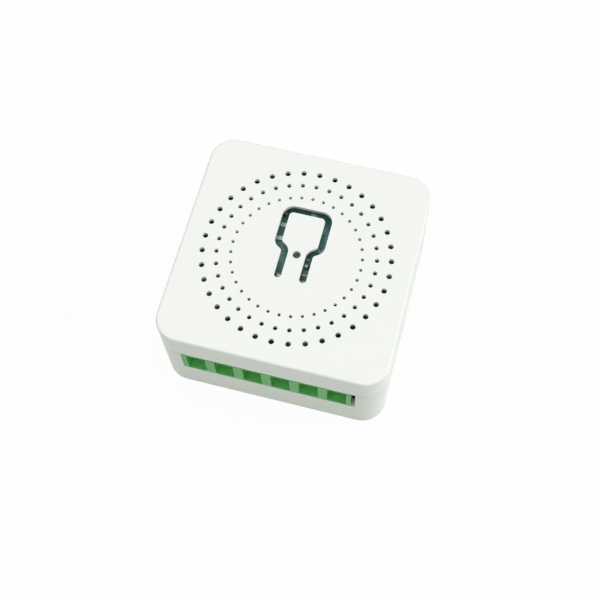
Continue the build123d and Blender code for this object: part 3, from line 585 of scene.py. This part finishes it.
# Tinned chip ends, each with its solder fillet and its pad
end_length = 0.3 * mm
end_proud = 0.015 * mm
fillet_top = 0.7
fillet_waist = 0.2
pad_reach = 0.42 * mm
pad_thickness = 0.03 * mm
pad_margin = 0.08 * mm
ends = bmesh.new()
for low, high in chip_boxes:
    left, width, tall = low.x - pad_margin, high.x - low.x + 2 * pad_margin, high.z - low.z
    for side, edge in ((-1, low.y), (1, high.y)):
        inside, outside = edge - side * end_length, edge + side * end_proud
        outline = [
            (inside, board_top),
            (inside, high.z + end_proud),
            (outside, high.z + end_proud),
            (outside, board_top + fillet_top * tall),
            (edge + side * pad_reach / 2, board_top + fillet_waist * tall),
            (edge + side * pad_reach, board_top + pad_thickness),
            (edge + side * pad_reach, board_top),
        ]
        slab(ends, [(left, y, z) for y, z in outline], (width, 0, 0))
piece("chip_ends", ends, solder)

# White print: a line on each side of a chip, and two ticks and a pointer beside the switch
print_width = 0.13 * mm
print_thickness = 0.015 * mm
print_gap = 0.275 * mm
tick_lefts = (1.40 * mm, 1.76 * mm)
tick_width = 0.26 * mm
tick_bottom, tick_top = 1.22 * mm, 1.52 * mm
pointer_tip = Vector((3.36 * mm, 3.1 * mm, board_top))
pointer_reach = Vector((0.45 * mm, 0.75 * mm, 0))
pointer_stroke = Vector((0, 0.24 * mm, 0))
marks = bmesh.new()


def printed(left, right, bottom, top):
    """A printed rectangle on the board."""
    corners = [(x, y, board_top) for x, y in rectangle(left, right, bottom, top)]
    slab(marks, corners, (0, 0, print_thickness))


for low, high in chip_boxes:
    if abs(low.x) < shown_high.x and low.y > shown_low.y:
        continue
    for edge in (low.x - print_gap - print_width, high.x + print_gap):
        printed(edge, edge + print_width, low.y, high.y)
for tick in tick_lefts:
    printed(tick, tick + tick_width, tick_bottom, tick_top)
for side in (-1, 1):
    far = pointer_tip + pointer_reach * Vector((side, 1, 0))
    corners = [pointer_tip, far, far + pointer_stroke, pointer_tip + pointer_stroke]
    slab(marks, corners, (0, 0, print_thickness))
piece("board_print", marks, print_white)

# Plated through holes in the free places of the board
via_radius = 0.3 * mm
via_bore = 0.14 * mm
via_height = 0.03 * mm
via_clearance = 0.9 * mm
via_columns_apart = 3.1 * mm
via_rows_apart = 2.9 * mm
via_stagger = 1.1 * mm
via_reach = 5
taken = chip_boxes + solids_of("solder_joints") + solids_of("switch_leads")
taken += [extent(node)[:2] for node in ("switch_body", "indicator_led")] + [(shown_low, shown_high)]


def is_free(spot):
    """Whether a place on the board is clear of all that stands on it."""
    return not any(
        low.x - via_clearance < spot.x < high.x + via_clearance
        and low.y - via_clearance < spot.y < high.y + via_clearance
        for low, high in taken
    )


holes = bmesh.new()
for row in range(-via_reach, via_reach + 1):
    for column in range(-via_reach, via_reach + 1):
        spot = Vector((column * via_columns_apart, row * via_rows_apart + (column % 2) * via_stagger, 0))
        if is_free(spot):
            ring = rectangle(via_bore, via_radius, board_top, board_top + via_height)
            turned(holes, ring, spot, steps=tiny_round)
piece("through_holes", holes, gold_plate)

# Folded aerial track on the back of the radio board
low, high, centre = extent("radio_board")
track = 0.45 * mm
track_thickness = 0.02 * mm
fold = 1.3 * mm
fold_count = 9
aerial_top, aerial_bottom = high.z - 0.5 * mm, high.z - 4.6 * mm
aerial = bmesh.new()
for run in range(fold_count):
    left = centre.x + (run - (fold_count - 1) / 2) * fold - track / 2
    spans = [rectangle(left, left + track, aerial_bottom + track, aerial_top - track)]
    if run < fold_count - 1:
        level = aerial_top - track if run % 2 == 0 else aerial_bottom
        spans.append(rectangle(left, left + fold + track, level, level + track))
    for span in spans:
        slab(aerial, [(x, high.y, z) for x, z in span], (0, track_thickness, 0))
piece("aerial_track", aerial, gold_plate)

# Colour bands on the resistor, which lies along Y
band_width = 0.6 * mm
band_skin = 0.015 * mm
brown_band_places = (0.24, 0.37, 0.50)
gold_band_places = (0.68,)


def resistor_rings(places):
    """Thin rings round the resistor, each at a share of its length."""
    low, high, centre = extent("fusible_resistor")
    radius = (high.x - low.x) / 2
    shape = bmesh.new()
    for share in places:
        start = low.y + share * (high.y - low.y)
        ring = rectangle(radius - band_skin, radius + band_skin, start, start + band_width)
        turned(shape, ring, centre, steps=small_round, along=y_axis)
    return shape


bands = resistor_rings(brown_band_places)
piece("resistor_bands", bands, band_brown)
last_band = resistor_rings(gold_band_places)
piece("tolerance_band", last_band, gold_plate)

# Bare can ends with a cross-shaped groove, facing down
can_end_share = 0.40
can_end_thickness = 0.05 * mm
groove_half_width = 0.12 * mm


def can_end(name, node):
    """The bare end of one can."""
    low, high, centre = extent(node)
    shape = bmesh.new()
    place = Matrix.Translation((centre.x, centre.y, low.z))
    radius = can_end_share * (high.x - low.x)
    bmesh.ops.create_circle(shape, cap_ends=True, radius=radius, segments=large_round, matrix=place)
    for across in (Vector((1, 0, 0)), Vector((0, 1, 0))):
        for way in (-1, 1):
            every = list(shape.verts) + list(shape.edges) + list(shape.faces)
            cut = Vector((centre.x, centre.y, 0)) + way * groove_half_width * across
            bmesh.ops.bisect_plane(shape, geom=every, dist=one_point_within, plane_co=cut, plane_no=across)
    grooves = []
    for face in shape.faces:
        away = face.calc_center_bounds() - centre
        if min(abs(away.x), abs(away.y)) < groove_half_width:
            grooves.append(face)
    bmesh.ops.delete(shape, geom=grooves, context="FACES")
    extrude_faces(shape, list(shape.faces), (0, 0, -can_end_thickness))
    piece(name, shape, can_end_metal)


can_end("mains_can_end", "mains_capacitor")
can_end("output_can_end", "output_capacitor")


# Camera, floor and light
floor_drop = 0.05 * mm
aim = Vector((0, 0, 10 * mm))


def white_to_the_eye(tree):
    """1 for a ray that the camera sees straight, in a reflection or through glass."""
    path = tree.nodes.new("ShaderNodeLightPath")
    total = path.outputs["Is Camera Ray"]
    for ray in ("Is Glossy Ray", "Is Transmission Ray"):
        total = worked_out(tree, "MAXIMUM", total, path.outputs[ray])
    return total


def mixed(tree, factor, first, second):
    """One shader where the factor is 0, the other where it is 1."""
    mix = tree.nodes.new("ShaderNodeMixShader")
    for place, socket in enumerate((factor, first, second)):
        tree.links.new(socket, mix.inputs[place])
    return mix.outputs[0]


def surroundings(level):
    """An even pale room that lights the object at one level and looks white."""
    world = bpy.data.worlds.new("room")
    bpy.context.scene.world = world
    world.use_nodes = True
    tree = world.node_tree
    backdrop = tree.nodes["Background"]
    backdrop.inputs["Color"].default_value = (1, 1, 1, 1)
    strength = tree.nodes.new("ShaderNodeMix")
    strength.inputs["A"].default_value = level
    strength.inputs["B"].default_value = 1.0
    tree.links.new(white_to_the_eye(tree), strength.inputs["Factor"])
    tree.links.new(strength.outputs["Result"], backdrop.inputs["Strength"])


def floor_material(paleness, bounce, whiteness):
    """Pale and matt from above with a soft shadow, clear from below and to the low light."""
    made = bpy.data.materials.new("floor")
    made.use_nodes = True
    tree = made.node_tree
    tree.nodes.remove(tree.nodes["Principled BSDF"])
    seen = white_to_the_eye(tree)
    tone = tree.nodes.new("ShaderNodeMix")
    tone.data_type = "RGBA"
    tone.inputs["A"].default_value = (*bounce, 1)
    tone.inputs["B"].default_value = (paleness, paleness, paleness, 1)
    tree.links.new(seen, tone.inputs["Factor"])
    matt = tree.nodes.new("ShaderNodeBsdfDiffuse")
    tree.links.new(tone.outputs["Result"], matt.inputs["Color"])
    white = tree.nodes.new("ShaderNodeEmission")
    glow = worked_out(tree, "MULTIPLY", seen, whiteness)
    above = mixed(tree, glow, matt.outputs[0], white.outputs[0])
    clear = tree.nodes.new("ShaderNodeBsdfTransparent")
    side = tree.nodes.new("ShaderNodeNewGeometry")
    path = tree.nodes.new("ShaderNodeLightPath")
    passes = worked_out(tree, "MAXIMUM", side.outputs["Backfacing"], path.outputs["Is Shadow Ray"])
    both = mixed(tree, passes, above, clear.outputs[0])
    tree.links.new(both, tree.nodes["Material Output"].inputs["Surface"])
    return made


def floor(size, paleness, bounce, whiteness):
    """A plain pale floor just below the module."""
    shape = bmesh.new()
    bmesh.ops.create_grid(shape, x_segments=1, y_segments=1, size=size)
    bmesh.ops.translate(shape, verts=shape.verts, vec=(0, 0, -floor_drop))
    mesh = bpy.data.meshes.new("floor")
    shape.to_mesh(mesh)
    shape.free()
    mesh.materials.append(floor_material(paleness, bounce, whiteness))
    ground = bpy.data.objects.new("floor", mesh)
    bpy.context.scene.collection.objects.link(ground)


def lamp(name, place, size, power):
    """A square soft light aimed at the module."""
    light = bpy.data.lights.new(name, "AREA")
    light.size = size
    light.energy = power
    holder = bpy.data.objects.new(name, light)
    holder.location = place
    holder.rotation_mode = "QUATERNION"
    holder.rotation_quaternion = (aim - Vector(place)).to_track_quat("-Z", "Y")
    bpy.context.scene.collection.objects.link(holder)


def camera(place, right, ahead, lens):
    """The camera where the photographer held it."""
    lens_data = bpy.data.cameras.new("camera")
    lens_data.sensor_width = 36
    lens_data.lens = lens
    lens_data.clip_start = 5 * mm
    back = -Vector(ahead).normalized()
    across = Vector(right).normalized()
    up = back.cross(across).normalized()
    across = up.cross(back)
    turn = Matrix((across, up, back)).transposed().to_4x4()
    holder = bpy.data.objects.new("camera", lens_data)
    holder.matrix_world = Matrix.Translation(place) @ turn
    bpy.context.scene.collection.objects.link(holder)
    bpy.context.scene.camera = holder


surroundings(level=0.25)
floor(size=2.0, paleness=0.95, bounce=(0.64, 0.70, 0.61), whiteness=0.93)
lamp("overhead_light", place=(-0.16, 0.02, 1.20), size=1.6, power=12.1)
lamp("side_light", place=(1.09, 0.12, 0.48), size=0.7, power=6.2)
lamp("low_light", place=(0.0, 0.0, -1.10), size=1.4, power=4.2)
camera(
    place=(0.0254, -0.0775, 0.1845), right=(0.96674, 0.25468, -0.02533), ahead=(-0.12537, 0.38500, -0.91440),
    lens=63.2,
)
bpy.context.scene.view_settings.view_transform = "Standard"
